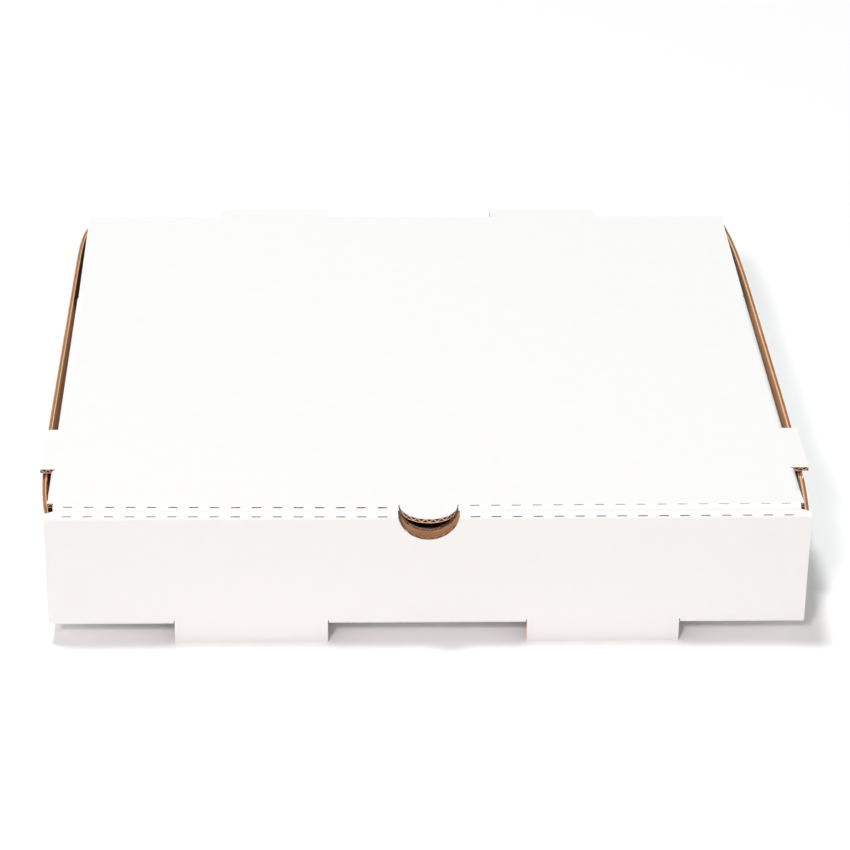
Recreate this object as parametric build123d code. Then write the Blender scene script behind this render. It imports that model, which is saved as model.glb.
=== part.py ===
from build123d import *
from math import atan2, copysign, cos, radians, sin
import os

# A one-piece pizza box of corrugated board, folded and closed, in millimetres.
# X runs along the front wall, +Y from the front wall to the hinge, +Z up.
# The origin is the middle of the bottom panel's underside.

# Outside of the folded box
box_width = 311
box_depth = 311
box_height = 51

# Board, folds and cuts
board = 2.0
inner_bend = 0.3
ply_gap = 0.25
die_gap = 0.4
lid_gap = 0.5
overrun = 5

# Side walls and the flaps folded from their ends
side_bow = 4.8
front_flap_length = 60
rear_flap_length = 55
flap_corner_cut = 8

# Double front wall
roll_inset = 3.7
inner_foot_gap = 0.3
notch_width = 24.8
notch_radius = 12.2
outer_notch_depth = 11.3
inner_notch_depth = 9.9

# Feet below the front panel, and the lock tabs that stand in their slots
foot_width = 62.8
foot_place = 72.4
foot_drop = 8.0
lock_side_gap = 3.0

# Lid panel
lid_front_inset = 1.8
lid_relief = 3.5
lip_radius = 11.8
lip_reach = 2.9

# Tuck flap at the lid's front
tuck_height = 40
tuck_inset = 2.6
tuck_corner_cut = 12
tuck_lean_degrees = 5

# Dust flaps at the lid's sides
dust_height = 37
dust_start = 20
dust_length = 195
dust_slant = 30
dust_corner_cut = 9
dust_lean_degrees = 4

# Ears on the lid's sides
ear_start = 41.5
ear_length = 36
ear_front_reach = 6.2
ear_back_reach = 4.9

# Tabs on the lid's back edge, and the vents that they leave in the back wall
tab_width = 52
tab_place = 66.2
tab_length = 7.6

# Cut-through dashes along the two front creases, counted outward from the notch
dash_count = 16
dash_start = 18.8
dash_pitch = 8.5
dash_length = 4.2
dash_width = 0.45
dash_depth = 1.0
roll_dash_degrees = 38
lid_dash_degrees = 14

# Places worked out from the sizes above
outer_bend = board + inner_bend
front = -box_depth / 2
back = box_depth / 2
side = box_width / 2
wall_top = box_height - board - lid_gap
strip_width = 3 * board + 2 * ply_gap
strip_back = front + strip_width
inner_face = strip_back - board
tuck_face = strip_back + lid_gap
flap_face = front + board + ply_gap
sill_height = 2 * outer_bend
slot_depth = foot_drop - board / 2
lid_front_half = side - lid_front_inset


def prism(points, plane, low, high):
    """A straight-sided outline, drawn on a plane and given thickness from low to high along its normal."""
    face = make_face(Polyline(*points, close=True))
    return extrude(plane.offset(low) * face, amount=high - low, dir=plane.z_dir)


def block(low, high):
    """A box between two opposite corners."""
    size = [b - a for a, b in zip(low, high)]
    return Pos(*low) * Box(*size, align=(Align.MIN, Align.MIN, Align.MIN))


def inner_points(points, turn):
    """The corners of a folded board's inner face: turn is 1 where it folds left and -1 where right."""
    corners = [Vector(*point) for point in points]
    ways = [(b - a).normalized() for a, b in zip(corners, corners[1:])]
    normals = [Vector(-way.Y, way.X) * turn for way in ways]
    moved = [corners[0] + normals[0] * board]
    for corner, first, second in zip(corners[1:], normals, normals[1:]):
        moved.append(corner + (first + second) * (board / (1 + first.dot(second))))
    moved.append(corners[-1] + normals[-1] * board)
    return moved


def folded(points, plane, low, high, turn):
    """Board folded along its outer face's outline, from low to high along the plane's normal."""
    outer = FilletPolyline(*points, radius=outer_bend)
    inside = inner_points(points, turn)
    inner = FilletPolyline(*inside, radius=inner_bend)
    ends = [Line(points[0], inside[0]), Line(points[-1], inside[-1])]
    section = make_face([*outer.edges(), *inner.edges(), *ends])
    return extrude(plane.offset(low) * section, amount=high - low, dir=plane.z_dir)


def both_sides(shape):
    """A shape and its mirror image across the middle of the box."""
    return [shape, mirror(shape, Plane.YZ)]


def corner_cut(plane, corner, along, up):
    """Clips a flap's corner through the whole box: along and up lead from the corner into the flap."""
    x, z = corner
    out_x = x - copysign(overrun, along)
    out_z = z - copysign(overrun, up)
    outline = [(x + along, z), (x, z + up), (out_x, z + up), (out_x, out_z), (x + along, out_z)]
    return prism(outline, plane, -box_depth, box_depth)


def crease_dashes(y, z, tilt):
    """Short cuts through the outer liner along a front crease, tilted back from straight down."""
    cuts = []
    for index in range(dash_count):
        x = dash_start + index * dash_pitch
        cut = Pos(x, y, z) * Rot(tilt, 0, 0) * Box(dash_length, dash_width, 2 * dash_depth)
        cuts += both_sides(cut)
    return cuts


def tray_sheet():
    """Back wall, bottom, front panel, top strip and inner panel: one strip of board, folded four times."""
    points = [
        (back, wall_top),
        (back, 0),
        (front, 0),
        (front, box_height),
        (strip_back, box_height),
        (strip_back, board + inner_foot_gap),
    ]
    return folded(points, Plane.YZ, -side, side, -1)


def side_edge_clearance():
    """The strips of the bottom panel that give way to the side walls' folds."""
    low = (side - sill_height, front + outer_bend, -overrun)
    high = (side + overrun, back - outer_bend, sill_height)
    return both_sides(block(low, high))


def side_wall():
    """Right side wall: a folded foot, and above it a wall that bows outward towards its raw top edge."""
    foot = [(side - sill_height, 0), (side, 0), (side, sill_height)]
    wall = folded(foot, Plane.XZ, front + outer_bend, back - outer_bend, 1)
    low_y = flap_face + outer_bend
    high_y = -low_y
    straight = Plane.XY.offset(sill_height) * make_face(
        Polyline((side, low_y), (side, high_y), (side - board, high_y), (side - board, low_y), close=True)
    )
    inside = side - board
    curves = [
        ThreePointArc((side, low_y), (side + side_bow, 0), (side, high_y)),
        Line((side, high_y), (inside, high_y)),
        ThreePointArc((inside, high_y), (inside + side_bow, 0), (inside, low_y)),
        Line((inside, low_y), (side, low_y)),
    ]
    bowed = Plane.XY.offset(wall_top) * make_face(curves)
    return wall + loft([straight, bowed], ruled=True)


def corner_flap(length, end):
    """A flap folded from the right side wall's end: end is 1 at the front and -1 at the back."""
    bend_end = -(flap_face + sill_height)
    points = [(side, bend_end), (side, -flap_face), (side - length, -flap_face)]
    flap = folded(points, Plane.XY, sill_height, wall_top, 1)
    tip = side - length
    flap -= corner_cut(Plane.XZ, (tip, sill_height), flap_corner_cut, flap_corner_cut)
    flap -= corner_cut(Plane.XZ, (tip, wall_top), flap_corner_cut, -flap_corner_cut)
    return mirror(flap, Plane.XZ) if end == 1 else flap


def roll_end_cuts():
    """Bevels the top strip's ends and narrows the inner panel, so that they slip between the corners."""
    outline = [
        (side + overrun, front + board),
        (side, front + board),
        (side - roll_inset, inner_face),
        (side - roll_inset, strip_back + overrun),
        (side + overrun, strip_back + overrun),
    ]
    return both_sides(prism(outline, Plane.XY, board + inner_foot_gap / 2, box_height + overrun))


def finger_notch():
    """The round finger notch through the front panel, the top strip and the inner panel."""
    half = notch_width / 2
    slot = block((-half, front - overrun, wall_top), (half, strip_back + overrun, box_height + overrun))
    cuts = [slot]
    for depth, low, high in (
        (outer_notch_depth, front - overrun, front + board + ply_gap / 2),
        (inner_notch_depth, inner_face - ply_gap / 2, strip_back + overrun),
    ):
        middle = (low + high) / 2
        disc = Pos(0, middle, box_height - depth + notch_radius) * Rot(90, 0, 0)
        cuts.append(disc * Cylinder(notch_radius, high - low))
    return cuts


def foot_slots():
    """The slots that the feet leave in the bottom panel."""
    half = foot_width / 2 + die_gap
    low = (foot_place - half, front + board, -overrun)
    high = (foot_place + half, front + board + slot_depth, outer_bend)
    return both_sides(block(low, high))


def feet():
    """Tabs in line with the front panel that stand below the bottom panel."""
    half = foot_width / 2
    low = (foot_place - half, front, -foot_drop)
    high = (foot_place + half, front + board, sill_height)
    return both_sides(block(low, high))


def lock_tabs():
    """Tabs at the foot of the inner panel that stand in the slots."""
    half = foot_width / 2 - lock_side_gap
    low = (foot_place - half, inner_face, 0)
    high = (foot_place + half, strip_back, sill_height)
    return both_sides(block(low, high))


def vent_cuts():
    """Openings in the back wall's top edge, where the lid's back tabs were cut out."""
    half = tab_width / 2 + die_gap
    low = (tab_place - half, back - board - ply_gap / 2, box_height - board - tab_length - die_gap)
    high = (tab_place + half, back + overrun, box_height)
    return both_sides(block(low, high))


def roll_dashes():
    """Cuts along the crease between the front panel and the top strip."""
    lean = radians(roll_dash_degrees)
    y = front + outer_bend - outer_bend * sin(lean)
    z = box_height - outer_bend + outer_bend * cos(lean)
    return crease_dashes(y, z, roll_dash_degrees)


def base_tray():
    """Everything that stays put when the lid opens."""
    tray = tray_sheet() - side_edge_clearance()
    walls = both_sides(side_wall())
    flaps = both_sides(corner_flap(front_flap_length, 1)) + both_sides(corner_flap(rear_flap_length, -1))
    tray = tray - roll_end_cuts() - foot_slots() + walls + flaps + feet() + lock_tabs()
    return tray - finger_notch() - vent_cuts() - roll_dashes()


def lid_half_width(y):
    """Half the lid's width at a place along its depth: it is a little narrower at the front."""
    return side - lid_front_inset * (back - y) / (back - tuck_face)


def side_edge_plane(y):
    """A plane across the lid's right edge at a place along its depth: X out, Y up and Z forward."""
    slant = atan2(lid_front_inset, back - tuck_face)
    out = (cos(slant), -sin(slant), 0)
    forward = (-sin(slant), -cos(slant), 0)
    return Plane(origin=(lid_half_width(y), y, box_height), x_dir=out, z_dir=forward)


def lid_panel():
    """The flat lid with its ears and back tabs, a fold's width short where the dust flaps turn down."""
    relief = tuck_face + lid_relief
    dust_low = front + dust_start
    dust_high = dust_low + dust_length
    ear_low = front + ear_start
    ear_high = ear_low + ear_length
    tab_in = tab_place - tab_width / 2
    tab_out = tab_place + tab_width / 2
    half = [
        (0, tuck_face + outer_bend),
        (lid_front_half - tuck_inset, tuck_face + outer_bend),
        (lid_front_half - tuck_inset, relief),
        (lid_half_width(relief), relief),
        (lid_half_width(dust_low), dust_low),
        (lid_half_width(dust_low) - outer_bend, dust_low),
        (lid_half_width(ear_low) - outer_bend, ear_low),
        (lid_half_width(ear_low) + ear_front_reach, ear_low),
        (lid_half_width(ear_high) + ear_back_reach, ear_high),
        (lid_half_width(ear_high) - outer_bend, ear_high),
        (lid_half_width(dust_high) - outer_bend, dust_high),
        (lid_half_width(dust_high), dust_high),
        (side, back),
        (tab_out, back),
        (tab_out, back + tab_length),
        (tab_in, back + tab_length),
        (tab_in, back),
        (0, back),
    ]
    panel = prism(half, Plane.XY, box_height - board, box_height)
    return panel + mirror(panel, Plane.YZ)


def back_crease_cuts():
    """Rounds the lid's back edge beside its tabs, where the sheet turns down into the back wall."""
    end = side + overrun
    low_z = box_height - board
    corner = block((-end, back - board, low_z), (end, back + overrun, box_height + overrun))
    round_bar = Pos(0, back - board, low_z) * Rot(0, 90, 0) * Cylinder(board, 2 * end)
    tab_half = tab_width / 2
    tab_low = (tab_place - tab_half, back - board - overrun, 0)
    tab_high = (tab_place + tab_half, back + 2 * overrun, box_height + 2 * overrun)
    return corner - round_bar - both_sides(block(tab_low, tab_high))


def finger_lip():
    """The round lip that stays in the lid's plane and lies in the finger notch."""
    middle = front - lip_reach + lip_radius
    disc = Pos(0, middle, box_height - board / 2) * Cylinder(lip_radius, board)
    root_low = (-lip_radius, middle, box_height - board)
    root_high = (lip_radius, tuck_face + 2 * outer_bend + overrun, box_height)
    return disc + block(root_low, root_high)


def tuck_flap():
    """The flap folded down from the lid's front edge, leaning back a little, with the lip's hole in it."""
    lean = radians(tuck_lean_degrees)
    foot_y = tuck_face + tuck_height * sin(lean)
    foot_z = box_height - tuck_height * cos(lean)
    half = lid_front_half - tuck_inset
    points = [(tuck_face + 2 * outer_bend, box_height), (tuck_face, box_height), (foot_y, foot_z)]
    flap = folded(points, Plane.YZ, -half, half, 1)
    flap -= both_sides(corner_cut(Plane.XZ, (half, foot_z), -tuck_corner_cut, tuck_corner_cut))
    low = (-lip_radius - die_gap, front, box_height - lip_radius - die_gap)
    high = (lip_radius + die_gap, foot_y + board + overrun, box_height + overrun)
    return flap - block(low, high)


def dust_flap():
    """The right dust flap, folded down from the lid's side edge, with the ear's hole in its top."""
    lean = radians(dust_lean_degrees)
    drop_x = -dust_height * sin(lean)
    drop_z = -dust_height * cos(lean)
    edge = side_edge_plane(front + dust_start)
    points = [(-2 * outer_bend, 0), (0, 0), (drop_x, drop_z)]
    flap = folded(points, edge, -dust_length, 0, -1)
    foot = box_height + drop_z
    low_y = front + dust_start
    high_y = low_y + dust_length
    flap -= corner_cut(Plane.YZ, (low_y, foot), dust_corner_cut, dust_corner_cut)
    flap -= corner_cut(Plane.YZ, (high_y, foot), -dust_slant, box_height - sill_height - foot)
    hole_low = (0, front + ear_start - die_gap, box_height - board - ear_front_reach)
    hole_high = (side + overrun, front + ear_start + ear_length + die_gap, box_height + overrun)
    return flap - block(hole_low, hole_high)


def lid_dashes():
    """Cuts along the crease between the lid and its tuck flap."""
    lean = radians(lid_dash_degrees)
    y = tuck_face + outer_bend - outer_bend * sin(lean)
    z = box_height - outer_bend + outer_bend * cos(lean)
    return crease_dashes(y, z, lid_dash_degrees)


def lid():
    """Everything that swings up with the lid."""
    panel = lid_panel() - back_crease_cuts() + tuck_flap() + finger_lip()
    return panel + both_sides(dust_flap()) - lid_dashes()


def write(name, shape):
    """Writes one node and prints what it holds."""
    export_step(shape, f"parts/{name}.step")
    print(name, "solids", len(shape.solids()), "volume", round(shape.volume), "valid", shape.is_valid)


os.makedirs("parts", exist_ok=True)
write("base_tray", base_tray())
write("lid", lid())
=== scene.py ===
# %% [markdown]
# # A pizza box of corrugated board
# The real box is one die-cut sheet of corrugated board, folded and tucked. Board is a sandwich: a
# white-top liner outside, a brown kraft liner inside, and a wavy sheet, the fluting, glued between them.
# A plain slab with a brown side would look flat at every cut edge, so each of the three papers is built
# as its own thin folded sheet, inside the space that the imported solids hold.

import math

import bpy
import numpy as np
from mathutils import Matrix


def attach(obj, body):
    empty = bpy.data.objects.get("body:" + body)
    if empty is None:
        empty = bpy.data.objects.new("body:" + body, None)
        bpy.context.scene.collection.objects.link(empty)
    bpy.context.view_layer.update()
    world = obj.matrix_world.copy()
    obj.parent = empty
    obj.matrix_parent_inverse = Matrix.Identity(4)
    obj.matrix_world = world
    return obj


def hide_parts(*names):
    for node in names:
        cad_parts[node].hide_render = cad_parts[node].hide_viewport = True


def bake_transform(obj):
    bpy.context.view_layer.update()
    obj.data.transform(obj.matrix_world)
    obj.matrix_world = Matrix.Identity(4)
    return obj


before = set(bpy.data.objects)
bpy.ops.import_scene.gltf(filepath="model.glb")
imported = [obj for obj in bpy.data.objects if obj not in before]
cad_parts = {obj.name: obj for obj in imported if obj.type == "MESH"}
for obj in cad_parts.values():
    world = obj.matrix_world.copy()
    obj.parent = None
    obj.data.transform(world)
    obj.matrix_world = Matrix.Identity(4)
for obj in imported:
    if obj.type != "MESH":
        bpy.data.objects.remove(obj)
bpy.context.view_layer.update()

# %% [markdown]
# ## Sizes
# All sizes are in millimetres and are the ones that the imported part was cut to. X runs along the front
# wall, Y from the front wall to the hinge, Z up. The origin is the middle of the bottom's underside.

# %% Sizes of the box
mm = 0.001
box_width, box_depth, box_height = 311.0, 311.0, 51.0
board = 2.0
outer_bend = 2.3
die_gap, ply_gap, lid_gap, tuck_gap, foot_gap = 0.4, 0.25, 0.5, 0.5, 0.3
strip_depth = 6.5
front, back, side = -box_depth / 2, box_depth / 2, box_width / 2
wall_top = box_height - board - lid_gap
strip_back = front + strip_depth
inner_face = strip_back - board
tuck_face = strip_back + tuck_gap
flap_face = front + board + ply_gap
sill_height = 2 * outer_bend
print("outside", box_width, box_depth, box_height, "mm")

# %% [markdown]
# ## The board's three papers
# This is fine-fluted board, 2 mm thick. Its real papers are about 0.2 mm thick, which is less than half a
# pixel in the picture, so they are drawn at 0.3 mm to let the cut edges show. A real flute is about 3.3 mm
# long. It is drawn at 3.23 mm, so that a crest comes to the raw top edge of the side walls.

# %% Sizes of the three papers
liner_caliper = 0.3
fluting_caliper = 0.32
flute_pitch = 3.23
flute_middle = board / 2
flute_swing = board / 2 - liner_caliper - fluting_caliper / 2
print("flutes every", flute_pitch, "mm, each way", round(flute_swing, 2), "mm")


# %% [markdown]
# ## Folding
# A folded strip of board is a row of flats joined by bends, the same all along its crease. So a strip can
# be cut as a flat outline, with one coordinate along the strip and one along its creases, and then folded
# by a rule that sends each flat point and each depth in the board to its place. Modifiers such as Simple
# Deform bend a mesh once. A rule in code folds it four times and keeps the outer face true to length.

# %% The rule that folds a strip
whisker = 1e-9


class FoldedLine:
    """The outer face of a folded board in section: flats joined by bends, measured along that face."""

    def __init__(self, corners, radius=outer_bend):
        corners = np.array(corners, float)
        ways = np.diff(corners, axis=0)
        lengths = np.linalg.norm(ways, axis=1)
        ways /= lengths[:, None]
        turns = [math.atan2(a[0] * b[1] - a[1] * b[0], a @ b) for a, b in zip(ways, ways[1:])]
        self.hand = math.copysign(1.0, turns[0]) if turns else 1.0
        self.radius = radius
        self.trims = [0.0] + [radius * math.tan(abs(turn) / 2) for turn in turns]
        self.flats, self.bends = [], []
        place = 0.0
        for index, (way, length) in enumerate(zip(ways, lengths)):
            trim = self.trims[index]
            start = corners[index] + way * trim
            after = self.trims[index + 1] if index < len(turns) else 0.0
            self.flats.append((place, start, way))
            place += length - trim - after
            if index < len(turns):
                self.bends.append((place, corners[index + 1] - way * after, way, abs(turns[index])))
                place += radius * abs(turns[index])
        self.length = place

    def mark(self, flat, distance):
        """The place along the strip of a point on a flat, so far from the corner where that flat starts."""
        return self.flats[flat][0] + distance - self.trims[flat]

    def inward(self, way):
        """The direction from the outer face into the board."""
        return np.array([-way[1], way[0]]) * self.hand

    def fold(self, along, depth):
        """Sends places along the strip, at depths in the board, to points in the section."""
        found = np.zeros((len(along), 2))
        starts = [place for place, *_ in self.flats] + [place for place, *_ in self.bends]
        order = np.argsort(starts)
        passed = np.searchsorted(np.array(starts)[order], along + whisker, "right")
        run = order[np.clip(passed - 1, 0, None)]
        for index, (place, start, way) in enumerate(self.flats):
            on = run == index
            found[on] = start + way * (along[on] - place)[:, None] + self.inward(way) * depth[on][:, None]
        for index, (place, start, way, _) in enumerate(self.bends):
            on = run == index + len(self.flats)
            centre = start + self.inward(way) * self.radius
            angle = (along[on] - place) / self.radius
            reach = (self.radius - depth[on])[:, None]
            ray = way * np.sin(angle)[:, None] - self.inward(way) * np.cos(angle)[:, None]
            found[on] = centre + ray * reach
        return found

    def bend_lines(self, steps=7):
        """Places along the strip where it needs grid lines to look round."""
        lines = []
        for place, _, _, turn in self.bends:
            lines += list(place + np.linspace(0, self.radius * turn, steps + 1))
        return lines

    def flat_edges(self, beside=0.7):
        """Places just beside each bend. Lines there keep the round shading of the bends off the flats."""
        edges = []
        for place, _, _, turn in self.bends:
            edges += [place - beside, place + self.radius * turn + beside]
        return edges


print("a square bend takes", round(outer_bend * math.pi / 2, 2), "mm of the outer face")

# %% [markdown]
# ## Cutting
# A die cuts the flat sheet, so each outline here is a closed loop of flat points, and a slot or a notch is
# another loop inside it. Blender could cut holes with the Boolean modifier, but the fluting has hundreds
# of thin ribs, and booleans on those are slow and leave scars. Slicing the outline into narrow columns
# and joining each column to the next gives clean quads that end exactly on the cut.

# %% Cutting an outline into columns
digits = 4
tiny, shortest_row = 0.001, 0.0002


def column_spans(edges, low, high):
    """The stretches of an outline that lie between two column lines, with their ends on both lines."""
    middle = (low + high) / 2
    u1, v1, u2, v2 = edges[:, (edges[1] - middle) * (edges[3] - middle) < 0]
    ends = [u1 + (u2 - u1) * (v - v1) / (v2 - v1) for v in (middle, low, high)]
    _, at_low, at_high = np.array(ends)[:, np.argsort(ends[0])]
    return zip(at_low[::2], at_low[1::2], at_high[::2], at_high[1::2])


def sliced(loops, u_lines, v_lines):
    """Flat points and faces that fill an outline, with every face between two neighbouring columns."""
    loops = [[(round(float(u), digits), round(float(v), digits)) for u, v in loop] for loop in loops]
    edges = np.array([(*a, *b) for loop in loops for a, b in zip(loop, loop[1:] + loop[:1])]).T
    low_v, high_v = edges[1].min(), edges[1].max()
    inside = {round(float(v), digits) for v in v_lines if low_v < v < high_v}
    columns = sorted(inside.union(edges[1].tolist()))
    lines = {round(float(u), digits) for u in u_lines}
    corners = {}
    for u, v in (point for loop in loops for point in loop):
        corners.setdefault(v, set()).add(u)
    points, faces = {}, []

    def chain(start, end, v):
        """The points of one column line, at every row and at every corner of the outline on that line."""
        rows = [start]
        if end - start > shortest_row:
            rows += sorted(u for u in lines | corners.get(v, set()) if start + tiny < u < end - tiny)
            rows.append(end)
        return [(u, points.setdefault((round(u, digits), v), len(points))) for u in rows]

    for low, high in zip(columns, columns[1:]):
        if high - low < tiny:
            continue
        for start_low, end_low, start_high, end_high in column_spans(edges, low, high):
            near = chain(float(start_low), float(end_low), low)
            far = chain(float(start_high), float(end_high), high)
            i = j = 0
            while i < len(near) - 1 or j < len(far) - 1:
                next_i = near[i + 1][0] if i < len(near) - 1 else math.inf
                next_j = far[j + 1][0] if j < len(far) - 1 else math.inf
                both_end = i == len(near) - 2 and j == len(far) - 2
                if both_end or abs(next_i - next_j) < tiny:
                    faces.append((near[i][1], near[i + 1][1], far[j + 1][1], far[j][1]))
                    i, j = i + 1, j + 1
                elif next_i < next_j:
                    faces.append((near[i][1], near[i + 1][1], far[j][1]))
                    i += 1
                else:
                    faces.append((near[i][1], far[j + 1][1], far[j][1]))
                    j += 1
    return np.array(list(points), float), faces


print("outlines are kept to", 10**-digits, "mm")

# %% [markdown]
# ## Papers
# A paper is a closed thin solid: the cut outline folded twice, at its upper and its lower depth, with a
# narrow wall round every cut. The two liners keep one depth. The fluting's depth swings as a wave across
# the flutes, and its two faces are moved apart at right angles to the wave, so that the paper keeps one
# caliper. Each point also carries its place on the flat sheet, because the fibres, the flute shadow and
# the glue lines belong to the sheet, and have to run round each fold with it.

# %% Folding a cut outline into a thin solid
def liner(top, bottom):
    """The depth rule of a flat paper between two depths."""

    def rule(flat, wave_axis, upper):
        return flat, np.full(len(flat), top if upper else bottom)

    return rule


def fluting(wave_start):
    """The depth rule of the wavy paper, which swings between the liners across the flutes."""

    def rule(flat, wave_axis, upper):
        phase = 2 * np.pi * (flat[:, wave_axis] - wave_start) / flute_pitch
        slope = -flute_swing * 2 * np.pi / flute_pitch * np.sin(phase)
        steep = np.sqrt(1 + slope**2)
        shift = (-0.5 if upper else 0.5) * fluting_caliper
        moved = flat.copy()
        moved[:, wave_axis] -= shift * slope / steep
        return moved, flute_middle + flute_swing * np.cos(phase) + shift / steep

    return rule


def paper(flat, faces, to_box, rule, wave_axis):
    """Points, faces, sheet places and kinds of face (0 upper, 1 lower, 2 cut) of one closed thin paper."""
    layers = [rule(flat, wave_axis, upper) for upper in (True, False)]
    points = np.vstack([to_box(moved[:, 0], moved[:, 1], depth) for moved, depth in layers])
    count = len(flat)
    ends = {}
    for face in faces:
        for a, b in zip(face, face[1:] + face[:1]):
            ends[(a, b)] = ends.get((a, b), 0) + 1
    walls = [(b, a, a + count, b + count) for a, b in ends if (b, a) not in ends]
    below = [tuple(index + count for index in reversed(face)) for face in faces]
    across = flat[:, [1 - wave_axis, wave_axis]]
    sheet = np.vstack([np.column_stack([across, depth]) for _, depth in layers])
    kinds = [0] * len(faces) + [1] * len(below) + [2] * len(walls)
    return points, faces + below + walls, sheet, kinds


steepest = math.atan(flute_swing * 2 * math.pi / flute_pitch)
print("the flutes rise at up to", round(math.degrees(steepest)), "degrees")

# %% [markdown]
# ## Pieces
# A Blender object is made for each paper of the tray, of its side walls and of the lid, so that each can be
# given its own finish. A face's material comes from its kind: the paper's upper side, its lower side, or
# the narrow cut. Bends are shaded round, and every edge sharper than a bend's own facets stays crisp.

# %% Joining papers into one piece
sharp_from = math.radians(38)


def outward(points, faces):
    """The faces, turned over if they enclose the paper inside out."""
    fans = np.array([(face[0], b, c) for face in faces for b, c in zip(face[1:], face[2:])])
    a, b, c = (points[fans[:, corner]] for corner in range(3))
    volume = np.einsum("ij,ij->", a, np.cross(b, c))
    return faces if volume > 0 else [tuple(reversed(face)) for face in faces]


def make_piece(name, papers, materials, body, node_name):
    """One Blender object from several papers, riding on its body, with a material for each kind of face."""
    points, faces, sheets, all_kinds, count = [], [], [], [], 0
    for paper_points, paper_faces, sheet, kinds in papers:
        centred = paper_points - paper_points.mean(0)
        faces += [tuple(i + count for i in face) for face in outward(centred, paper_faces)]
        points.append(paper_points)
        sheets.append(sheet)
        all_kinds += kinds
        count += len(paper_points)
    mesh = bpy.data.meshes.new(name)
    mesh.from_pydata((np.vstack(points) * mm).tolist(), [], faces)
    mesh.polygons.foreach_set("use_smooth", [True] * len(mesh.polygons))
    mesh.set_sharp_from_angle(angle=sharp_from)
    place = mesh.attributes.new("sheet_place", "FLOAT_VECTOR", "POINT")
    place.data.foreach_set("vector", np.vstack(sheets).astype(np.float32).ravel())
    for material in materials:
        mesh.materials.append(material)
    mesh.polygons.foreach_set("material_index", all_kinds)
    mesh.validate()
    piece = bpy.data.objects.new(name, mesh)
    bpy.context.scene.collection.objects.link(piece)
    if body:
        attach(piece, body)
        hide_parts(node_name)
    print(name, len(mesh.vertices), "points", sum(len(face) - 2 for face in faces), "triangles")
    return piece


print("edges sharper than", round(math.degrees(sharp_from)), "degrees stay crisp")

# %% [markdown]
# ## Panels
# A panel is one outline with its folding rule, and says which of its two flat coordinates runs across the
# flutes. All three papers are cut from it, so they line up at every edge as they do in the real board.
# The fluting needs eight ribs to a wave to look round, and the liners only need a wide grid.

# %% What a panel is
liner_step, long_step, ribs_to_a_flute = 9.0, 24.0, 8


def panel(loops, to_box, line, wave_axis, slits=(), row_step=long_step, wave_start=0.0):
    """The three papers of one panel: white liner, kraft liner and fluting. Slits cut the white liner."""
    across = [point[wave_axis] for loop in loops for point in loop]
    grid = np.arange(min(across), max(across), liner_step)
    ribs = np.arange(min(across), max(across), flute_pitch / ribs_to_a_flute)
    other = [point[1 - wave_axis] for loop in loops for point in loop]
    rows = np.arange(min(other), max(other), row_step)
    bends, edges = (line.bend_lines(), line.flat_edges()) if line else ([], [])
    papers = []
    for rule, columns, bend_lines, holes in (
        (liner(0.0, liner_caliper), grid, bends + edges, list(slits)),
        (liner(board - liner_caliper, board), grid, bends + edges, []),
        (fluting(wave_start), ribs, bends, []),
    ):
        if wave_axis == 1:
            flat, faces = sliced(loops + holes, list(rows) + bend_lines, columns)
        else:
            turned = [[(v, u) for u, v in loop] for loop in loops + holes]
            flat, faces = sliced(turned, list(rows), list(columns) + bend_lines)
            flat = flat[:, ::-1].copy()
        papers.append(paper(flat, faces, to_box, rule, wave_axis))
    return papers


def mirrored(loop):
    """The same loop on the other side of the middle of the box."""
    return [(u, -v) for u, v in loop]


def both_halves(half):
    """A whole loop from its right half, which runs from the middle line back to the middle line."""
    return half + mirrored(half)[::-1]


def mirrored_box(to_box):
    """A folding rule for the left side of the box, from the right side's."""

    def rule(u, v, depth):
        return to_box(u, v, depth) * np.array([-1.0, 1.0, 1.0])

    return rule


print("liners have a line every", liner_step, "mm, the fluting every", flute_pitch / ribs_to_a_flute)

# %% [markdown]
# ## The tray's long strip
# Back wall, bottom, front panel, top strip and inner panel are one strip, folded four times. Separate
# walls would be easier to place, but they would show a joint at each crease, where the real white liner
# runs on without a break. The strip's back edge has the vents that the lid's tabs leave, and its other end
# has the two tabs that lock it in the bottom.

# %% Folding line of the tray's strip
tray_line = FoldedLine(
    [
        (back, wall_top),
        (back, 0),
        (front, 0),
        (front, box_height),
        (strip_back, box_height),
        (strip_back, board + foot_gap),
    ]
)


def tray_to_box(u, v, depth):
    """Flat places on the tray's strip, at depths in the board, as points of the box."""
    section = tray_line.fold(u, depth)
    return np.column_stack([v, section])


print("tray strip", round(tray_line.length, 1), "mm long when flat")

# %% Outline of the tray's strip
tab_width, tab_place, tab_length = 52.0, 66.2, 7.6
foot_width, foot_place, foot_drop = 62.8, 72.4, 8.0
roll_inset, lock_inset, lock_depth = 3.7, 3.0, 2.3
vent_in = tab_place - tab_width / 2 - die_gap
vent_out = tab_place + tab_width / 2 + die_gap
vent_foot = tray_line.mark(0, wall_top - (box_height - board - tab_length - die_gap))
sill_start = tray_line.mark(1, outer_bend)
sill_end = tray_line.mark(1, box_depth - outer_bend)
strip_start = tray_line.mark(3, outer_bend)
strip_bevel = tray_line.mark(3, inner_face - front)
roll_half = side - roll_inset
lock_in = foot_place - foot_width / 2 + lock_inset
lock_out = foot_place + foot_width / 2 - lock_inset
tray_half = [
    (0, vent_in),
    (vent_foot, vent_in),
    (vent_foot, vent_out),
    (0, vent_out),
    (0, side),
    (sill_start, side),
    (sill_start, side - sill_height),
    (sill_end, side - sill_height),
    (sill_end, side),
    (strip_start, side),
    (strip_bevel, roll_half),
    (tray_line.length, roll_half),
    (tray_line.length, lock_out),
    (tray_line.length + lock_depth, lock_out),
    (tray_line.length + lock_depth, lock_in),
    (tray_line.length, lock_in),
]
tray_outline = both_halves(tray_half)
print("tray outline", len(tray_outline), "corners")

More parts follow.
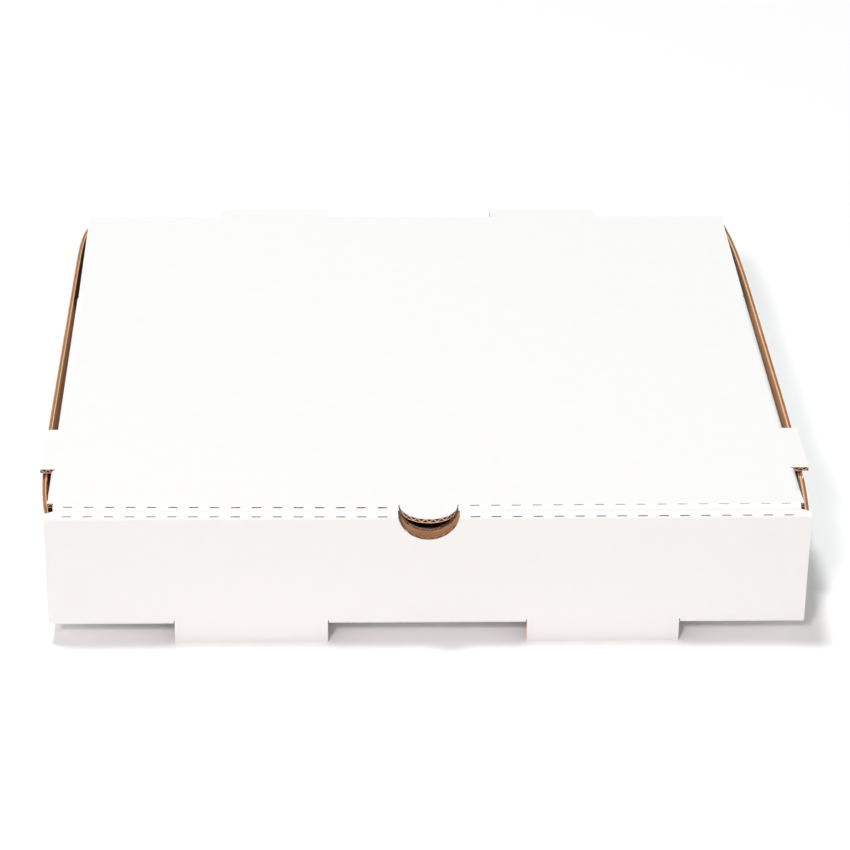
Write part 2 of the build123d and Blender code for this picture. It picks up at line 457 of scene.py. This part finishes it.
# %% [markdown]
# ## Finger notch
# A finger lifts the lid here. The notch goes through the front panel, the top strip and the inner panel,
# which the die cuts as one long hole in the flat sheet, so it is drawn the same way: two round ends, joined
# by straight sides over the top strip. The inner end is less deep, which leaves a brown rim behind.

# %% Finger notch
notch_radius, notch_top_half = 12.85, 12.6
outer_notch_depth, inner_notch_depth, notch_points = 11.3, 9.9, 17


def notch_arc(flat, depth, up):
    """Half of a notch's round bottom, as places on the strip, from the middle line outward."""
    centre = box_height - depth + notch_radius
    top_angle = math.acos((centre - box_height + outer_bend) / notch_radius)
    points = []
    for angle in np.linspace(0, top_angle, notch_points):
        z = centre - notch_radius * math.cos(angle)
        points.append((tray_line.mark(flat, z if up else box_height - z), notch_radius * math.sin(angle)))
    return points


outer_arc = notch_arc(2, outer_notch_depth, True)
inner_arc = notch_arc(4, inner_notch_depth, False)
notch_top = tray_line.mark(3, (strip_back - front) / 2)
notch_half_loop = [*outer_arc, (notch_top, notch_top_half), *reversed(inner_arc)]
notch_loop = notch_half_loop + mirrored(notch_half_loop[1:-1])[::-1]
print("notch", 2 * notch_top_half, "mm wide")

# %% [markdown]
# ## Slots of the feet
# Each foot is cut out of the bottom panel along its front crease and leaves a slot there, in which the
# inner panel's lock tab stands. A slot is one more loop in the strip's outline.

# %% Slots of the feet
slot_reach = 7.0
slot_half = foot_width / 2 + die_gap
slot_start = tray_line.mark(1, box_depth - board - slot_reach)
slot_end = tray_line.mark(2, outer_bend)
slot_loop = [
    (slot_start, foot_place - slot_half),
    (slot_end, foot_place - slot_half),
    (slot_end, foot_place + slot_half),
    (slot_start, foot_place + slot_half),
]
print("slots", round(slot_end - slot_start, 1), "by", round(2 * slot_half, 1), "mm")

# %% [markdown]
# ## Slits along the front creases
# Thick board folds straight only where it is weakened, so the die cuts a row of short slits along the
# roll's first crease and another along the lid's front crease. They go through the white liner, and the
# brown fluting shows in them as a row of dashes. Painted dashes would keep their colour in every light.
# Cuts catch the light as the real ones do. The knives aren't quite in line with the creases, so each row
# wanders a little.

# %% Slits along a front crease
slit_count, slit_start, slit_pitch, slit_length = 16, 18.8, 8.5, 4.2
slit_point, longest_point_share = 0.35, 0.25
roll_slit_width, roll_wander_left, roll_wander_right = 0.42, (1.54, 2.08), (1.5, 1.78)


def slit(place, middle, width, length=slit_length):
    """One short cut with pointed ends, along the crease."""
    half, wide = length / 2, width / 2
    point = min(slit_point, length * longest_point_share)
    return [
        (place, middle - half),
        (place + wide, middle - half + point),
        (place + wide, middle + half - point),
        (place, middle + half),
        (place - wide, middle + half - point),
        (place - wide, middle - half + point),
    ]


def crease_slits(start, left, right, width):
    """A row of slits on both sides of the notch. Each side wanders, from its near to its far end."""
    loops = []
    for hand, (near, far) in ((-1, left), (1, right)):
        for index in range(slit_count):
            place = start + near + (far - near) * index / (slit_count - 1)
            loops.append(slit(place, hand * (slit_start + index * slit_pitch), width))
    return loops


roll_slits = crease_slits(tray_line.bends[2][0], roll_wander_left, roll_wander_right, roll_slit_width)
tray_loops = [tray_outline, notch_loop, slot_loop, mirrored(slot_loop)]
tray_panels = [panel(tray_loops, tray_to_box, tray_line, 1, roll_slits)]
print("roll slits", len(roll_slits))


# %% [markdown]
# ## Feet
# The feet are cut out of the bottom and stay in line with the front panel, so they hang below it and the
# box stands on them. They are flat, so their rule has no fold.

# %% Feet
def foot_to_box(u, v, depth):
    """A foot stands in line with the front panel."""
    return np.column_stack([v, front + depth, u])


foot_low, foot_high = foot_place - foot_width / 2, foot_place + foot_width / 2
foot_loop = [
    (outer_bend, foot_low),
    (outer_bend, foot_high),
    (-foot_drop, foot_high),
    (-foot_drop, foot_low),
]
for loop in (foot_loop, mirrored(foot_loop)):
    tray_panels.append(panel([loop], foot_to_box, None, 1))
print("feet", foot_width, "by", foot_drop, "mm")

# %% [markdown]
# ## Side walls
# A side wall and the two flaps at its ends are one strip round the corners, seen in plan. The flutes of
# one sheet all run the same way, which is along the side walls, so their raw top edge is a smooth paper
# edge and not a zigzag. Nothing holds the wall at its top, so it bows outward there, and the two walls
# never bow alike: the left one is fuller. A modifier that bulges the mesh would bend the corners too. Here
# the bow is added after the folding, grows from the crease at the bottom to the raw edge, and dies away at
# both corners.
#
# The ear of the lid presses a shallow bed into the raw edge. At the front, the corner flap stands lower
# than the wall, which leaves the relief hole that shows as a dark spot at the corner.

# %% Side walls with their corner flaps
front_flap_length, rear_flap_length, flap_corner, flap_drop = 60.0, 55.0, 8.0, 6.0
right_bow, right_front_fullness, right_back_fullness = 3.6, 4, 6
left_bow, left_front_fullness, left_back_fullness = 4.75, 6, 14
ear_bed_low, ear_bed_high, ear_bed_drop = -117.5, -75.0, 1.6
bow_half = -(flap_face + outer_bend)
bow_step = 4.0
wall_line = FoldedLine(
    [
        (side - front_flap_length, flap_face),
        (side, flap_face),
        (side, -flap_face),
        (side - rear_flap_length, -flap_face),
    ]
)


def wall_to_box(side_bow, front_fullness, back_fullness):
    """The folding rule of a side wall that bows out so far at its top edge, and so fully near its ends."""

    def rule(u, v, depth):
        section = wall_line.fold(u, depth)
        y = section[:, 1]
        near = np.minimum(np.abs(y), bow_half) / bow_half
        bow = side_bow * (1 - near ** np.where(y < 0, front_fullness, back_fullness))
        rise = np.clip((v - sill_height) / (wall_top - sill_height), 0, 1)
        return np.column_stack([section[:, 0] + bow * rise, y, v])

    return rule


wall_end = wall_line.length
relief_start = wall_line.bends[0][0] + outer_bend * math.pi / 4
bed_start = wall_line.mark(1, ear_bed_high - flap_face)
bed_end = wall_line.mark(1, ear_bed_low - flap_face)
wall_loop = [
    (0, sill_height + flap_corner),
    (flap_corner, sill_height),
    (wall_end - flap_corner, sill_height),
    (wall_end, sill_height + flap_corner),
    (wall_end, wall_top - flap_corner),
    (wall_end - flap_corner, wall_top),
    (bed_start, wall_top),
    (bed_start, wall_top - ear_bed_drop),
    (bed_end, wall_top - ear_bed_drop),
    (bed_end, wall_top),
    (relief_start, wall_top),
    (relief_start, wall_top - flap_drop),
    (flap_corner, wall_top - flap_drop),
    (0, wall_top - flap_corner),
]
right_wall_to_box = wall_to_box(right_bow, right_front_fullness, right_back_fullness)
left_wall_to_box = mirrored_box(wall_to_box(left_bow, left_front_fullness, left_back_fullness))
wall_panels = [
    panel([wall_loop], to_box, wall_line, 1, row_step=bow_step, wave_start=wave_start)
    for to_box, wave_start in ((right_wall_to_box, 0.0), (left_wall_to_box, flute_pitch / 2))
]
print("side walls", round(wall_end, 1), "mm long when flat, bowed", right_bow, "and", left_bow, "mm")

# %% [markdown]
# ## Folds under the side walls
# The bottom panel turns up into each side wall. The strip above can't hold this fold, because its creases
# run the other way, so each fold is a narrow strip of its own that meets the bottom and the wall edge to
# edge, and its flutes run along it as theirs do.

# %% Folds under the side walls
sill_line = FoldedLine([(side - sill_height, 0), (side, 0), (side, sill_height)])
sill_reach = back - outer_bend


def sill_to_box(u, v, depth):
    """The fold from the bottom up into the right side wall."""
    section = sill_line.fold(u, depth)
    return np.column_stack([section[:, 0], v, section[:, 1]])


sill_loop = [
    (0, -sill_reach),
    (0, sill_reach),
    (sill_line.length, sill_reach),
    (sill_line.length, -sill_reach),
]
for to_box in (sill_to_box, mirrored_box(sill_to_box)):
    tray_panels.append(panel([sill_loop], to_box, sill_line, 0))
print("tray panels", len(tray_panels))

# %% [markdown]
# ## Lid and tuck flap
# The lid is flat. Its front edge turns down into the tuck flap, which leans back a little inside the front
# wall. The ears and the back tabs stay in the lid's plane, because they are cut free of the flaps. One
# outline holds all of it, so the white liner runs on over the front crease without a joint.

# %% Folding line of the lid
tuck_height, tuck_corner, tuck_lean = 40.0, 12.0, math.radians(5)
lid_line = FoldedLine(
    [
        (back, box_height),
        (tuck_face, box_height),
        (tuck_face + tuck_height * math.sin(tuck_lean), box_height - tuck_height * math.cos(tuck_lean)),
    ]
)


def lid_to_box(u, v, depth):
    """Flat places on the lid, at depths in the board, as points of the box."""
    return np.column_stack([v, lid_line.fold(u, depth)])


print("lid and tuck flap", round(lid_line.length, 1), "mm long when flat")

# %% [markdown]
# ## Outline of the lid
# A closed lid sits a little askew on its tray: on this box it reaches further out on the left, and most at
# the back. So the two sides have their own reach, their own relief at the front corner and their own tuck
# flap end, and share everything else.

# %% Outline of the lid
right_reach_back, right_reach_front = 155.1, 154.2
left_reach_back, left_reach_front = 157.2, 155.3
edge_inset = 0.9
dust_start, dust_length = 20.0, 195.0
ear_start, ear_length, ear_reach = 41.5, 36.0, 160.1
crease_start = 2.0


def lid_reach(y, hand):
    """How far the lid's side edge stands from the middle. It is a little nearer at the front."""
    reach_back = right_reach_back if hand > 0 else left_reach_back
    reach_front = right_reach_front if hand > 0 else left_reach_front
    return reach_back + (reach_front - reach_back) * (back - y) / (back - tuck_face)


right_relief, left_relief = 2.8, 4.4
right_tuck_inset, left_tuck_inset = 2.0, 3.0
dust_low, dust_high = front + dust_start, front + dust_start + dust_length
ear_low, ear_high = front + ear_start, front + ear_start + ear_length


def lid_side(hand):
    """One side of the lid's outline, from the middle of the back to the middle of the tuck flap."""
    relief_y = tuck_face + (right_relief if hand > 0 else left_relief)
    tuck_half = lid_reach(tuck_face, hand) - (right_tuck_inset if hand > 0 else left_tuck_inset)
    points = [
        (crease_start, tab_place - tab_width / 2),
        (-tab_length, tab_place - tab_width / 2),
        (-tab_length, tab_place + tab_width / 2),
        (crease_start, tab_place + tab_width / 2),
        (crease_start, lid_reach(back - crease_start, hand) - edge_inset / 2),
        (back - dust_high, lid_reach(dust_high, hand) - edge_inset),
        (back - dust_high, lid_reach(dust_high, hand) - outer_bend),
        (back - ear_high, lid_reach(ear_high, hand) - outer_bend),
        (back - ear_high, ear_reach),
        (back - ear_low, ear_reach),
        (back - ear_low, lid_reach(ear_low, hand) - outer_bend),
        (back - dust_low, lid_reach(dust_low, hand) - outer_bend),
        (back - dust_low, lid_reach(dust_low, hand) - edge_inset),
        (back - relief_y, lid_reach(relief_y, hand) - edge_inset / 2),
        (back - relief_y, tuck_half),
        (lid_line.length - tuck_corner, tuck_half),
        (lid_line.length, tuck_half - tuck_corner),
    ]
    return [(u, hand * v) for u, v in points]


lid_outline = lid_side(1) + lid_side(-1)[::-1]
print("lid outline", len(lid_outline), "corners")

# %% [markdown]
# ## Finger lip
# The lip is the half disc that the die cuts out of the tuck flap, so the hole that it leaves there has the
# lip's own shape, a cut's width larger. The lip itself stays flat and lies in the finger notch, where its
# round edge is cut across the flutes and shows their zigzag. The lid has its own row of slits here, and two
# small tear marks near its left edge, where the knife of the ear has nicked the liner.

# %% Finger lip and the hole that it leaves
lip_radius, lip_reach, disc_points = 11.8, 2.9, 33
lid_slit_width, lid_wander_left, lid_wander_right = 0.55, (1.8, 1.06), (0.8, 0.2)
tear_reach, tear_width = 154.4, 0.6
tears = ((62.2, 3.0), (70.4, 1.8))
lip_root = back - (tuck_face + outer_bend)
lip_centre = back - (front - lip_reach + lip_radius)


def half_disc(root, centre, radius):
    """A straight root with a half disc beyond it, as a loop of flat points."""
    arc = [
        (centre + radius * math.cos(angle), radius * math.sin(angle))
        for angle in np.linspace(-math.pi / 2, math.pi / 2, disc_points)
    ]
    return [(root, -radius), *arc, (root, radius)]


def lip_to_box(u, v, depth):
    """The lip stays in the lid's plane."""
    return np.column_stack([v, back - u, box_height - depth])


lip_loop = half_disc(lip_root, lip_centre, lip_radius)
lip_hole = half_disc(lip_root, lip_centre, lip_radius + die_gap)
lid_slits = crease_slits(lid_line.bends[0][0], lid_wander_left, lid_wander_right, lid_slit_width)
lid_slits += [slit(back + place, -tear_reach, width, tear_width) for place, width in tears]
lid_panels = [
    panel([lid_outline, lip_hole], lid_to_box, lid_line, 1, lid_slits),
    panel([lip_loop], lip_to_box, None, 1),
]
print("lip reaches", round(lip_centre + lip_radius - lip_root, 1), "mm from its root")

# %% [markdown]
# ## Dust flaps
# The lid's side edges turn down into the dust flaps, which stand inside the side walls. The ears are cut
# out of them, so each flap has a hole at its crease where its ear was. The folding rule takes its outer
# face from the lid's reach at each place, so a flap follows the lid's edge even where that runs askew.

# %% Dust flaps
dust_height, dust_slant, dust_corner, dust_lean = 37.0, 30.0, 9.0, math.radians(4)
slant_rise = 32.3
dust_line = FoldedLine(
    [(-sill_height, 0), (0, 0), (-dust_height * math.sin(dust_lean), -dust_height * math.cos(dust_lean))]
)


def dust_to_box(hand):
    """The folding rule of a dust flap, down from the lid's side edge."""

    def rule(u, v, depth):
        section = dust_line.fold(u, depth)
        return np.column_stack([hand * (lid_reach(v, hand) + section[:, 0]), v, box_height + section[:, 1]])

    return rule


def dust_mark(z):
    """The place down the dust flap of a height in the box."""
    return dust_line.mark(1, (box_height - z) / math.cos(dust_lean))


dust_root = sill_height - outer_bend
dust_foot = dust_line.length
ear_hole = dust_mark(box_height - board - (ear_reach - right_reach_front))
slant_top = dust_mark(box_height - dust_height * math.cos(dust_lean) + slant_rise)
dust_loop = [
    (dust_root, dust_low),
    (dust_root, ear_low - die_gap),
    (ear_hole, ear_low - die_gap),
    (ear_hole, ear_high + die_gap),
    (dust_root, ear_high + die_gap),
    (dust_root, dust_high),
    (slant_top, dust_high),
    (dust_foot, dust_high - dust_slant),
    (dust_foot, dust_low + dust_corner),
    (dust_foot - dust_corner, dust_low),
]
for to_box in (dust_to_box(1), dust_to_box(-1)):
    lid_panels.append(panel([dust_loop], to_box, dust_line, 0))
print("lid panels", len(lid_panels))


# %% [markdown]
# ## Materials
# One small function adds a node, and one turns a hex colour to linear light. Every pattern is placed by
# the point's place on the flat sheet, in millimetres, so that it has its real size and runs round each
# fold. Object coordinates would cut straight through the folds and smear on the flaps that lean.

# %% Helpers for materials
def linear(hex_colour):
    """A hex colour as the eye reads it, turned to linear light."""
    channels = [int(hex_colour[i : i + 2], 16) / 255 for i in (1, 3, 5)]
    return [*(c / 12.92 if c <= 0.04045 else ((c + 0.055) / 1.055) ** 2.4 for c in channels), 1.0]


def add_node(tree, kind, settings=None, **inputs):
    """Adds a node with its settings. An input is a value, or the socket that feeds it."""
    made = tree.nodes.new(kind)
    for name, value in (settings or {}).items():
        setattr(made, name, value)
    for name, value in inputs.items():
        socket = made.inputs[int(name[1:]) if name[1:].isdigit() else name.replace("_", " ")]
        if isinstance(value, bpy.types.NodeSocket):
            tree.links.new(value, socket)
        else:
            socket.default_value = value
    return made


def new_material(name):
    """An empty material with its node tree."""
    material = bpy.data.materials.new(name)
    material.use_nodes = True
    material.node_tree.nodes.clear()
    return material, material.node_tree


print("mid grey in linear light", round(linear("#808080")[0], 3))

# %% [markdown]
# ## White-top liner
# The outside is bleached, rolled smooth on a paper machine and left unprinted. It gives the eye a clean
# matt white, with faint clouds where the fibres lie thicker, and a hardly visible ripple over the flutes.
# White paper has an IOR near 1.5 and a roughness of about a half. Real fibres are 0.03 mm wide, too fine
# to show, so they are drawn as bundles of about half a millimetre, stretched along the paper's web.
# Blender's wave texture multiplies its scale by 20, so the ripple's scale is divided by that.

# %% White-top liner
paper_ior, web_stretch, bump_strength, bump_height = 1.5, 0.22, 0.12, 0.1 * mm
cloud_detail, cloud_grain, fibre_detail, fibre_grain = 4.0, 0.55, 3.0, 0.6
wave_texture_factor = 20


def paper_material(name, light, dark, fibre_mm, cloud_mm, contrast, roughness, ripple):
    """Paper: clouds of fibre, bundles along the web, and the ripple that the flutes press into it."""
    material, tree = new_material(name)
    place = add_node(tree, "ShaderNodeAttribute", {"attribute_name": "sheet_place"}).outputs["Vector"]
    web = add_node(tree, "ShaderNodeMapping", _0=place, Scale=(1.0, web_stretch, 1.0)).outputs[0]
    clouds = add_node(
        tree,
        "ShaderNodeTexNoise",
        Vector=place,
        Scale=1 / cloud_mm,
        Detail=cloud_detail,
        Roughness=cloud_grain,
    ).outputs[0]
    fibres = add_node(
        tree,
        "ShaderNodeTexNoise",
        Vector=web,
        Scale=1 / fibre_mm,
        Detail=fibre_detail,
        Roughness=fibre_grain,
    ).outputs[0]
    both = add_node(
        tree, "ShaderNodeMix", {"data_type": "FLOAT"}, _0=0.5, _2=clouds, _3=fibres
    ).outputs[0]
    spread = add_node(
        tree,
        "ShaderNodeMapRange",
        Value=both,
        From_Min=0.5 - contrast,
        From_Max=0.5 + contrast,
    ).outputs[0]
    colour = add_node(
        tree, "ShaderNodeMix", {"data_type": "RGBA"}, _0=spread, _6=linear(dark), _7=linear(light)
    ).outputs[2]
    flutes = add_node(
        tree,
        "ShaderNodeTexWave",
        {"wave_type": "BANDS", "bands_direction": "Y", "wave_profile": "SIN"},
        Vector=place,
        Scale=2 * math.pi / flute_pitch / wave_texture_factor,
    ).outputs["Fac"]
    height = add_node(
        tree, "ShaderNodeMath", {"operation": "MULTIPLY_ADD"}, _0=flutes, _1=ripple, _2=both
    ).outputs[0]
    bump = add_node(
        tree, "ShaderNodeBump", Strength=bump_strength, Distance=bump_height, Height=height
    ).outputs[0]
    shader = add_node(
        tree,
        "ShaderNodeBsdfPrincipled",
        Base_Color=colour,
        Roughness=roughness,
        IOR=paper_ior,
        Normal=bump,
    ).outputs[0]
    add_node(tree, "ShaderNodeOutputMaterial", Surface=shader)
    return material


white_liner = paper_material(
    "bleached_white_top_liner",
    light="#FBFBFA",
    dark="#F8F7F6",
    fibre_mm=0.5,
    cloud_mm=7.0,
    contrast=0.22,
    roughness=0.55,
    ripple=0.25,
)
print("made", white_liner.name)

# %% [markdown]
# ## Kraft liner and fluting
# The inside is unbleached kraft: long brown fibres, not rolled smooth, so it is rougher and more clouded.
# It gives the eye the warm brown of the inside. The fluting is made of shorter, cheaper fibre, and is
# darker and greyer. Its colour is drawn darker still, as painted shade, so the hollows between the ribs
# look deep.

# %% Kraft papers
kraft_liner = paper_material(
    "unbleached_kraft_liner",
    light="#DDAF85",
    dark="#C0906A",
    fibre_mm=0.6,
    cloud_mm=5.0,
    contrast=0.2,
    roughness=0.75,
    ripple=0.5,
)
# The fluting's colour is partly its own greyer fibre and partly painted shade for its hollows.
fluting_with_painted_shade = paper_material(
    "fluting_medium_with_painted_shade",
    light="#9C7050",
    dark="#72503A",
    fibre_mm=0.5,
    cloud_mm=3.0,
    contrast=0.2,
    roughness=0.8,
    ripple=0.0,
)
print("made", kraft_liner.name, "and", fluting_with_painted_shade.name)

# %% [markdown]
# ## Cut edges
# A fresh cut shows the middle of the paper, which is lighter than its faces and has a loose, fuzzy grain.
# On the real board that is the pale line along each liner and the pale zigzag of the fluting, so the
# narrow faces round every cut have a kraft of their own, with a grain of about a millimetre.

# %% Cut edges
kraft_cut = paper_material(
    "fresh_cut_kraft_edge",
    light="#FAD8B6",
    dark="#E6B58B",
    fibre_mm=0.35,
    cloud_mm=1.2,
    contrast=0.2,
    roughness=0.9,
    ripple=0.0,
)
print("made", kraft_cut.name)

# %% [markdown]
# ## Pieces that ride on the tray and on the lid
# Each paper has three finishes, for its upper side, its lower side and its cuts. Between the liners it is
# dark, so the liners' inner sides and the fluting take the fluting's darkened colour, which is painted
# shade.
# The raw edges of the side walls lie open to the light along a flute, so there the inner sides and the
# fluting have the liner's brown, without painted shade.

# %% Pieces that ride on the tray and on the lid
# The lower side of the white liner, the upper side of the kraft liner and both sides of the fluting are
# painted shade.
white_faces = (white_liner, fluting_with_painted_shade, white_liner)
kraft_faces = (fluting_with_painted_shade, kraft_liner, kraft_cut)
fluting_faces = (fluting_with_painted_shade, fluting_with_painted_shade, kraft_cut)
wall_white_faces = (white_liner, kraft_liner, white_liner)
wall_kraft_faces = (kraft_liner, kraft_liner, kraft_cut)
parts = (
    (0, "white_liner", white_faces, wall_white_faces),
    (1, "kraft_liner", kraft_faces, wall_kraft_faces),
    (2, "fluting", fluting_faces, wall_kraft_faces),
)
for index, name, faces, wall_faces in parts:
    tray_papers, wall_papers, lid_papers = (
        [papers[index] for papers in panels] for panels in (tray_panels, wall_panels, lid_panels)
    )
    make_piece(f"tray_{name}", tray_papers, faces, "tray", "base_tray")
    make_piece(f"side_walls_{name}", wall_papers, wall_faces, "tray", "base_tray")
    make_piece(f"lid_{name}", lid_papers, faces, "lid", "lid")

# %% [markdown]
# ## The back crease
# The lid is hinged by the board itself: at the back crease the two liners go on from the back wall into
# the lid, and the fluting between them is crushed. Here the two skins are built for the shut box and ride
# on neither body. The outer one is round when the box is shut. The inner one is a bare half millimetre
# then, covers the crease from the wall to the lid in one slant, and has no rows between its two edges.

# %% The two skins of the back crease
crease_corners = [(back, wall_top), (back, box_height), (back - crease_start, box_height)]
crease_line = FoldedLine(crease_corners, crease_start)
crease_half, crease_steps = right_reach_back, 12
inner_crease = box_height - board - wall_top


def crease_to_box(u, v, depth):
    """The outer skin runs round from the back wall to the lid."""
    return np.column_stack([v, crease_line.fold(u, depth)])


def inner_crease_to_box(u, v, depth):
    """The inner skin stands on the wall's kraft liner and ends on a slant, where it meets the lid's."""
    mitre = (liner_caliper - depth) * u / inner_crease
    return np.column_stack([v, back - board + liner_caliper - depth, wall_top + u + mitre])


def crease_skin(name, length, lines, to_box, faces_of):
    """One skin of the hinge crease, in three stretches between the lid's back tabs."""
    papers = []
    for low, high in ((-crease_half, -vent_out), (-vent_in, vent_in), (vent_out, crease_half)):
        loop = [(0, low), (0, high), (length, high), (length, low)]
        flat, faces = sliced([loop], lines, np.arange(low, high, liner_step))
        papers.append(paper(flat, faces, to_box, liner(0.0, liner_caliper), 1))
    skin = make_piece(name, papers, faces_of, None, None)
    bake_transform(skin)
    return skin


crease_skin(
    "back_crease_white_liner",
    crease_line.length,
    crease_line.bend_lines(crease_steps),
    crease_to_box,
    white_faces,
)
crease_skin(
    "back_crease_kraft_liner",
    inner_crease,
    [],
    inner_crease_to_box,
    (kraft_liner, kraft_liner, kraft_cut),
)

# %% [markdown]
# ## Floor
# The box stands on its two feet and on its rear bottom edge, so the floor meets all three. A plain pale
# floor under soft light is nearly white already. A little light of its own, for the camera alone, takes it
# to white, and the shadow stays because the floor's own colour still carries it.

# %% Floor
floor_far = 6.0
tilt = foot_drop / box_depth
floor_corners = []
for x, y in ((-1, -1), (1, -1), (1, 1), (-1, 1)):
    height = -foot_drop * mm + tilt * (y * floor_far - front * mm)
    floor_corners.append((x * floor_far, y * floor_far, height))
floor_mesh = bpy.data.meshes.new("floor")
floor_mesh.from_pydata(floor_corners, [], [(0, 1, 2, 3)])
floor = bpy.data.objects.new("floor", floor_mesh)
bpy.context.scene.collection.objects.link(floor)
print("floor falls", round(math.degrees(math.atan(tilt)), 2), "degrees to the front")

# %% [markdown]
# ## Finish of the floor
# The real floor is matt and nearly white. Blender tells a material which kind of ray looks at it, so the
# floor's small light of its own can be kept for what the camera sees, straight or in a gloss, and lights
# nothing else.

# %% Finish of the floor
floor_colour, floor_lift = "#F9F9F9", 0.08


def seen_straight(tree):
    """One where the camera sees a surface, straight, in a gloss or through glass, and nought elsewhere."""
    seen = add_node(tree, "ShaderNodeLightPath").outputs
    either = add_node(
        tree, "ShaderNodeMath", {"operation": "MAXIMUM"}, _0=seen["Is Camera Ray"], _1=seen["Is Glossy Ray"]
    ).outputs[0]
    return add_node(
        tree, "ShaderNodeMath", {"operation": "MAXIMUM"}, _0=either, _1=seen["Is Transmission Ray"]
    ).outputs[0]


floor_paint, tree = new_material("pale_studio_floor")
lift = add_node(
    tree, "ShaderNodeMath", {"operation": "MULTIPLY"}, _0=seen_straight(tree), _1=floor_lift
).outputs[0]
matt = add_node(tree, "ShaderNodeBsdfDiffuse", Color=linear(floor_colour)).outputs[0]
glow = add_node(tree, "ShaderNodeEmission", Strength=lift).outputs[0]
both = add_node(tree, "ShaderNodeAddShader", _0=matt, _1=glow).outputs[0]
add_node(tree, "ShaderNodeOutputMaterial", Surface=both)
floor_mesh.materials.append(floor_paint)
print("made", floor_paint.name)

# %% [markdown]
# ## Light
# The box is evenly lit: a pale surround, one soft lamp high up on the left and a little behind, which
# puts a narrow shadow to the right and in front, and a fill from the front left, which lights the front
# wall. The fill is a touch warmer than the lamp above, as the front wall looks warmer than the lid in the
# photograph.

# %% Surround and lamps
surround_strength = 0.3
lamp_distance, lamp_size = 6.0, 0.8
world = bpy.data.worlds.new("pale_surround")
bpy.context.scene.world = world
world.use_nodes = True
tree = world.node_tree
tree.nodes.clear()
surround = add_node(
    tree, "ShaderNodeMix", {"data_type": "FLOAT"}, _0=seen_straight(tree), _2=surround_strength, _3=1.0
).outputs[0]
sky = add_node(tree, "ShaderNodeBackground", Color=(1.0, 1.0, 1.0, 1.0), Strength=surround).outputs[0]
add_node(tree, "ShaderNodeOutputWorld", Surface=sky)


def soft_lamp(name, direction, power, colour):
    """A square lamp that looks at the middle of the box."""
    data = bpy.data.lights.new(name, "AREA")
    data.size, data.energy, data.color = lamp_size, power, colour
    lamp = bpy.data.objects.new(name, data)
    bpy.context.scene.collection.objects.link(lamp)
    way = np.array(direction, float) / np.linalg.norm(direction)
    lamp.location = way * lamp_distance
    lamp.rotation_mode = "QUATERNION"
    lamp.rotation_quaternion = lamp.location.to_track_quat("Z", "Y")
    return lamp


high_lamp = soft_lamp("high_lamp", direction=(-0.16, 0.07, 1.0), power=176.0, colour=(0.95, 1.0, 1.0))
front_fill = soft_lamp("front_fill", direction=(-0.38, -1.0, 0.8), power=146.0, colour=(1.0, 0.9, 0.89))
print("lamps", high_lamp.data.energy, "and", front_fill.data.energy, "W")

# %% [markdown]
# ## Camera
# The camera's place, angles and lens come from a fit of the part's own points to where they are in the
# photograph: its corners, its feet, its tabs, its ears and its notch. A long lens some 1.4 m away and about
# 27 degrees above the table keeps the box's sides nearly parallel, as they are there.

# %% Camera
yaw, pitch, roll = math.radians(-2.178), math.radians(26.733), math.radians(0.828)
focal_px, image_px, sensor_mm = 3115.4, 850, 36.0
camera_place = np.array([-44.34, -1262.54, 649.88]) * mm
across = np.array([math.cos(yaw), math.sin(yaw), 0.0])
ahead = np.array([-math.sin(yaw) * math.cos(pitch), math.cos(yaw) * math.cos(pitch), -math.sin(pitch)])
up = np.cross(across, ahead)
right = math.cos(roll) * across + math.sin(roll) * up
top = -math.sin(roll) * across + math.cos(roll) * up
camera_data = bpy.data.cameras.new("camera")
camera_data.sensor_width = sensor_mm
camera_data.lens = focal_px / image_px * sensor_mm
camera_data.clip_start, camera_data.clip_end = 0.05, 50.0
camera = bpy.data.objects.new("camera", camera_data)
bpy.context.scene.collection.objects.link(camera)
placed = Matrix.Identity(4)
for column, axis in enumerate((right, top, -ahead, camera_place)):
    for row in range(3):
        placed[row][column] = axis[row]
camera.matrix_world = placed
bpy.context.scene.camera = camera
bpy.context.scene.view_settings.view_transform = "Standard"
print("lens", round(camera_data.lens, 1), "mm")
